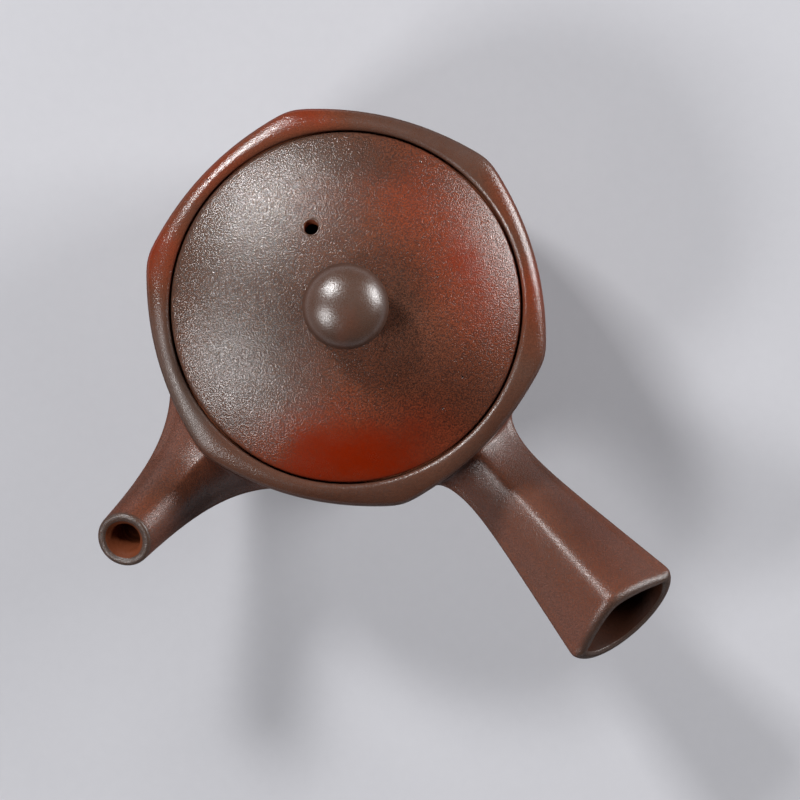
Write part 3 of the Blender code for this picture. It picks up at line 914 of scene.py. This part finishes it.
def make_lid():
    """The dome, thrown from its edge up to the middle and then along its underside."""
    seat = LID_SEAT_Z
    low = 0.7 * MM
    start = (LID_RADIUS, seat + low)
    piece = take("lid_clay_dome", bpy.ops.mesh.primitive_circle_add, vertices=144,
                 radius=start[0], location=(0, 0, start[1]))
    shoulder = LID_RADIUS - 0.5 * MM
    over = [(LID_RADIUS, seat + 2.1 * MM)]
    over += [(LID_RADIUS - 0.05 * MM, seat + 2.55 * MM), (LID_RADIUS - 0.2 * MM, seat + 2.85 * MM)]
    over += [(shoulder, seat + dome_height(shoulder))]
    over += [(r, seat + dome_height(r))
             for r in [shoulder * (1 - (i + 1) / 20) for i in range(19)]]
    throw(start, over)
    close_to_point()
    pick(piece, lambda e: e.is_boundary, "edges")
    under = [(LID_RADIUS - 0.2 * MM, seat + 0.2 * MM), (LID_RADIUS - 0.8 * MM, seat)]
    under += [(39.1 * MM, seat), (38.75 * MM, seat + 0.1 * MM), (38.7 * MM, seat + 0.5 * MM)]
    under += [(38.4 * MM, seat + 1.5 * MM)]
    under += [(r, seat + dome_height(r) - LID_SHELL)
              for r in [38 * MM * (1 - i / 12) for i in range(12)]]
    throw(start, under)
    close_to_point()
    leave_leather_hard(piece)

    out = Vector((VENT_OUT * math.cos(VENT_ANGLE), VENT_OUT * math.sin(VENT_ANGLE), 0))
    drill = take("vent_drill", bpy.ops.mesh.primitive_cylinder_add, vertices=48,
                 radius=VENT_RADIUS, depth=12 * MM,
                 location=out + Vector((0, 0, seat + dome_height(VENT_OUT))),
                 rotation=(0, math.radians(19), VENT_ANGLE))
    bpy.ops.object.mode_set(mode="OBJECT")
    cut_away(piece, drill)
    return piece


def bare_lid(piece):
    """The lid's underside and the drilled wall of its vent show raw clay, its second material."""
    out = Vector((VENT_OUT * math.cos(VENT_ANGLE), VENT_OUT * math.sin(VENT_ANGLE)))
    for face in piece.data.polygons:
        near = (face.center.xy - out).length < VENT_RADIUS + 1.6 * MM
        below = face.normal.z < -0.2 and face.center.xy.length < 41.5 * MM
        if below or near and abs(face.normal.z) < 0.6:
            face.material_index = 1


def make_vent_edge():
    """The soft burr that the drill raised round the vent."""
    slope = VENT_OUT / (DOME_CURVE / 2) + 4 * DOME_DROOP * VENT_OUT ** 3
    top = LID_SEAT_Z + dome_height(VENT_OUT)
    inner = VENT_RADIUS - 0.02 * MM
    start = (inner, -0.55 * MM)
    piece = take("lid_vent_edge", bpy.ops.mesh.primitive_circle_add, vertices=48,
                 radius=inner, location=(0, 0, start[1]))
    burr = [(inner, -0.2 * MM)]
    burr += [(inner + out * MM, up * MM) for out, up in (
        (0.04, 0.03), (0.18, 0.10), (0.36, 0.07), (0.6, -0.02), (0.8, -0.3), (0.3, -0.55))]
    throw(start, burr)
    pick(piece, lambda e: e.is_boundary, "edges")
    bpy.ops.mesh.bridge_edge_loops()
    bpy.ops.mesh.select_all(action="SELECT")
    bpy.ops.transform.vertex_random(offset=0.035 * MM, seed=4)
    bpy.ops.mesh.vertices_smooth(factor=0.5, repeat=1)
    lean_over(-math.atan(slope), (0, 0, 0))
    leave_leather_hard(piece)
    piece.rotation_euler.z = VENT_ANGLE
    piece.location = (VENT_OUT * math.cos(VENT_ANGLE), VENT_OUT * math.sin(VENT_ANGLE), top)
    bpy.ops.object.transform_apply(location=True, rotation=True)
    return piece


def make_flange():
    """The ring under the lid that keeps it in the mouth."""
    seat = LID_SEAT_Z
    outer, inner = FLANGE_OUTER, FLANGE_INNER
    foot = seat - FLANGE_DEPTH
    start = (outer, seat + dome_height(outer) - LID_SHELL - 0.1 * MM)
    piece = take("lid_flange_ring", bpy.ops.mesh.primitive_circle_add, vertices=144,
                 radius=start[0], location=(0, 0, start[1]))
    profile = [(outer, seat - 1.0 * MM), (outer, foot + 1.6 * MM)]
    profile += [(outer - 0.15 * MM, foot + 0.7 * MM), (outer - 0.7 * MM, foot + 0.1 * MM)]
    profile += [(outer - 1.35 * MM, foot)]
    profile += [(inner + 0.7 * MM, foot + 0.1 * MM), (inner + 0.15 * MM, foot + 0.7 * MM)]
    profile += [(inner, foot + 1.6 * MM), (inner, seat - 1.0 * MM)]
    profile += [(inner - 0.3 * MM, seat + dome_height(inner) - LID_SHELL - 0.1 * MM)]
    throw(start, profile)
    pick(piece, lambda e: e.is_boundary, "edges")
    bpy.ops.mesh.bridge_edge_loops()
    leave_leather_hard(piece)
    return piece


def make_knob():
    """A flattened ball on a short waisted neck."""
    foot = LID_SEAT_Z + dome_height(0)
    centre = foot + KNOB_CENTRE
    join = math.acos(NECK_SHARE)
    ball_foot = centre - KNOB_HALF_HEIGHT * math.sin(join)
    start = (KNOB_RADIUS, centre)
    piece = take("knob_clay_ball", bpy.ops.mesh.primitive_circle_add, vertices=96,
                 radius=start[0], location=(0, 0, start[1]))
    top = [(KNOB_RADIUS * math.cos(t), centre + KNOB_HALF_HEIGHT * math.sin(t))
           for t in quarter(16)[:-1]]
    throw(start, top)
    close_to_point()
    pick(piece, lambda e: e.is_boundary, "edges")
    turns = [join * (i + 1) / 10 for i in range(10)]
    lower = [(KNOB_RADIUS * math.cos(t), centre - KNOB_HALF_HEIGHT * math.sin(t)) for t in turns]
    neck = [(NECK_RADIUS + NECK_FLARE * down ** 2, ball_foot + (foot - ball_foot) * down)
            for down in (0.3, 0.6, 0.85, 1)]
    neck += [(6.0 * MM, foot - 0.2 * MM), (5.0 * MM, foot - 0.6 * MM), (0.6 * MM, foot - 0.6 * MM)]
    throw(start, lower + neck)
    close_to_point()
    leave_leather_hard(piece)
    return piece


# Laying out the scene


def lay_floor():
    """A round floor, wide enough to fill the picture from every side."""
    floor = take("studio_floor", bpy.ops.mesh.primitive_circle_add, vertices=96, radius=9.0,
                 fill_type="NGON")
    bpy.ops.mesh.inset(thickness=2.0)
    bpy.ops.object.mode_set(mode="OBJECT")
    floor.data.materials.append(floor_plaster())


def light_the_room():
    """Pale walls low down and a dim ceiling."""
    world = bpy.data.worlds.new("studio_room")
    world.use_nodes = True
    bpy.context.scene.world = world
    tree = world.node_tree
    direction = tree.nodes.new("ShaderNodeTexCoord")
    parts = tree.nodes.new("ShaderNodeSeparateXYZ")
    ramp = tree.nodes.new("ShaderNodeValToRGB")
    walls, ceiling = ramp.color_ramp.elements
    walls.position, walls.color = 0.02, (0.05, 0.05, 0.052, 1)
    ceiling.position, ceiling.color = 0.25, (0.010, 0.010, 0.0105, 1)
    tree.links.new(direction.outputs["Generated"], parts.inputs[0])
    tree.links.new(parts.outputs["Z"], ramp.inputs["Fac"])
    tree.links.new(ramp.outputs["Color"], tree.nodes["Background"].inputs["Color"])


def coat(piece, *materials):
    """The first material covers the piece; a second one waits for the faces that show raw clay."""
    for material in materials:
        piece.data.materials.append(material)


def line_inside(piece):
    """Gives the pot's inside, below the seat, its second material."""
    for face in piece.data.polygons:
        out = face.center.xy.normalized().dot(face.normal.xy)
        below_seat = 3 * MM < face.center.z < SEAT_Z + 0.5 * MM
        ledge = face.center.z > 50 * MM and face.center.xy.length < 42 * MM
        if below_seat and (out < -0.2 or face.normal.z > 0.6 or ledge):
            face.material_index = 1


bpy.context.scene.view_settings.view_transform = "Standard"
hang_camera()
light_the_room()
hang_softbox("key_softbox", azimuth=173, elevation=46.5, distance=1.5,
             width=0.27, height=0.27, level=0.44)
hang_softbox("side_softbox", azimuth=250, elevation=49, distance=1.4,
             width=0.34, height=0.34, level=0.30)
hang_softbox("far_panel", azimuth=66, elevation=24, distance=1.3,
             width=0.54, height=0.50, level=0.28)
lay_floor()

# Patches of flame (below 0) and smoke (above 0), and darker patches, which are painted shade
# on the spout, the handle and the lower right of the pot and lid: the middle, the half sizes,
# both in millimetres along the picture's own directions, the turn in degrees and the strength
POT_MARKS = (
    ((-44, 14, 60), (14, 16, 26), 0, -0.70),
    ((-32, 34, 62), (22, 12, 26), 45, -0.55),
    ((-12, 46, 62), (17, 9, 24), 10, -0.65),
    ((46, 5, 58), (10, 24, 26), 0, -0.65),
    ((40, 27, 62), (9, 13, 26), 30, -0.45),
    ((-40, -18, 60), (16, 24, 24), 20, 0.30),
    ((20, 44, 62), (22, 9, 20), -15, 0.15),
)
# Darker patches on the pot: at the bottom and lower right of the rim, painted shade on the side
# away from the key lamp; at the top right, the colour is only darkened
POT_SHADE_AND_DARKENING = (((8, -46, 60), (30, 10, 30), 0, 0.5), ((36, -30, 60), (14, 18, 30), 0, 0.4),
            ((22, 44, 62), (24, 8, 20), -15, 0.5))
LID_MARKS = (
    ((8, -42, 68), (46, 30, 40), 4, -0.62),
    ((-15, -35, 68), (30, 18, 40), 20, -0.30),
    ((20, -32, 68), (24, 14, 40), 20, -0.10),
    ((21, 22, 68), (42, 22, 40), -64, -0.46),
    ((35, -3, 68), (28, 28, 40), 0, -0.38),
    ((4, -24, 68), (38, 24, 40), 10, -0.17),
    ((-24, 4, 68), (30, 50, 40), 0, 0.35),
    ((-4, 38, 68), (30, 13, 40), 0, 0.25),
)
# Darker patches on the lid: to the lower right, painted shade on the side away from the key lamp;
# near the top, the colour is only darkened
LID_SHADE_AND_DARKENING = (((22, -24, 68), (27, 22, 40), 20, 0.80), ((10, 36, 68), (24, 10, 40), -20, 0.45))
KNOB_MARKS = (((1, -4, 84), (4, 9, 12), 10, -0.35),)
# Painted shade on the spout's side that faces away from the lamps
SPOUT_PAINTED_SHADE = (((-26, -42, 45), (14, 12, 30), -35, 0.8),)
# Painted shade on the handle's face that looks away from the lamps
HANDLE_PAINTED_SHADE = (((57, -51, 52), (36, 10, 30), -48, 0.8),)

wall_form = make_wall_form()
pot = make_pot()
coat(pot, smoked_clay("pot_smoked_clay", smoke=0.80, marks=POT_MARKS, grain=0.6, gloss=0.19,
                      polish=1.66, dulling=0.22, deep=POT_SHADE_AND_DARKENING),
     raw_clay("pot_raw_clay"))
line_inside(pot)
place_piece(pot, "pot", "body_clay", "pot_body")

spout = make_spout(wall_form)
coat(spout, smoked_clay("spout_smoked_clay", smoke=0.59, marks=(), grain=0.85, gloss=0.37,
                        polish=1.65, dulling=0, deep=SPOUT_PAINTED_SHADE,
                        lips=[sooty_lip(spout_at, SPOUT_ANGLE, back=0.9, soft=0.6)]),
     raw_clay("spout_bore_clay_shaded", BORE_SHADED_RED, BORE_SHADED_PALE))
# The bore past the lip takes the darkened raw clay: painted shade inside the tube
line_tube(spout, spout_at, SPOUT_ANGLE, 0.35 * MM)
place_piece(spout, "pot", "spout_clay", "spout")

handle = make_handle(wall_form)
coat(handle, smoked_clay("handle_smoked_clay", smoke=0.60, marks=(), grain=0.75, gloss=0.37,
                         polish=1.65, dulling=0, deep=HANDLE_PAINTED_SHADE,
                         lips=[sooty_lip(handle_at, HANDLE_ANGLE, back=1.2, soft=1.0)]),
     raw_clay("handle_bore_clay_shaded", BORE_SHADED_DARK, BORE_SHADED_BROWN))
# The bore past the lip takes the darkened raw clay: painted shade inside the tube
line_tube(handle, handle_at, HANDLE_ANGLE, 0.5 * MM)
place_piece(handle, "pot", "handle_clay", "handle")

strainer = make_strainer(wall_form)
coat(strainer, raw_clay("strainer_raw_clay"))
place_piece(strainer, "pot", "strainer_clay", "tea_strainer")
bpy.data.objects.remove(wall_form, do_unlink=True)

lid = make_lid()
coat(lid, smoked_clay("lid_smoked_clay", smoke=0.74, marks=LID_MARKS, deep=LID_SHADE_AND_DARKENING),
     raw_clay("lid_raw_clay"))
bare_lid(lid)
place_piece(lid, "lid", "lid_clay", "lid_dome")

vent_edge = make_vent_edge()
coat(vent_edge, smoked_clay("vent_smoked_clay", smoke=0.95, marks=(), grain=0.4))
place_piece(vent_edge, "lid", "lid_clay")

flange = make_flange()
coat(flange, raw_clay("flange_raw_clay"))
place_piece(flange, "lid", "flange_clay", "lid_flange")

knob = make_knob()
coat(knob, smoked_clay("knob_smoked_clay", smoke=0.95, marks=KNOB_MARKS, grain=0.45, gloss=0.37,
                       polish=1.95, rings=0.2))
place_piece(knob, "lid", "knob_clay", "lid_knob")
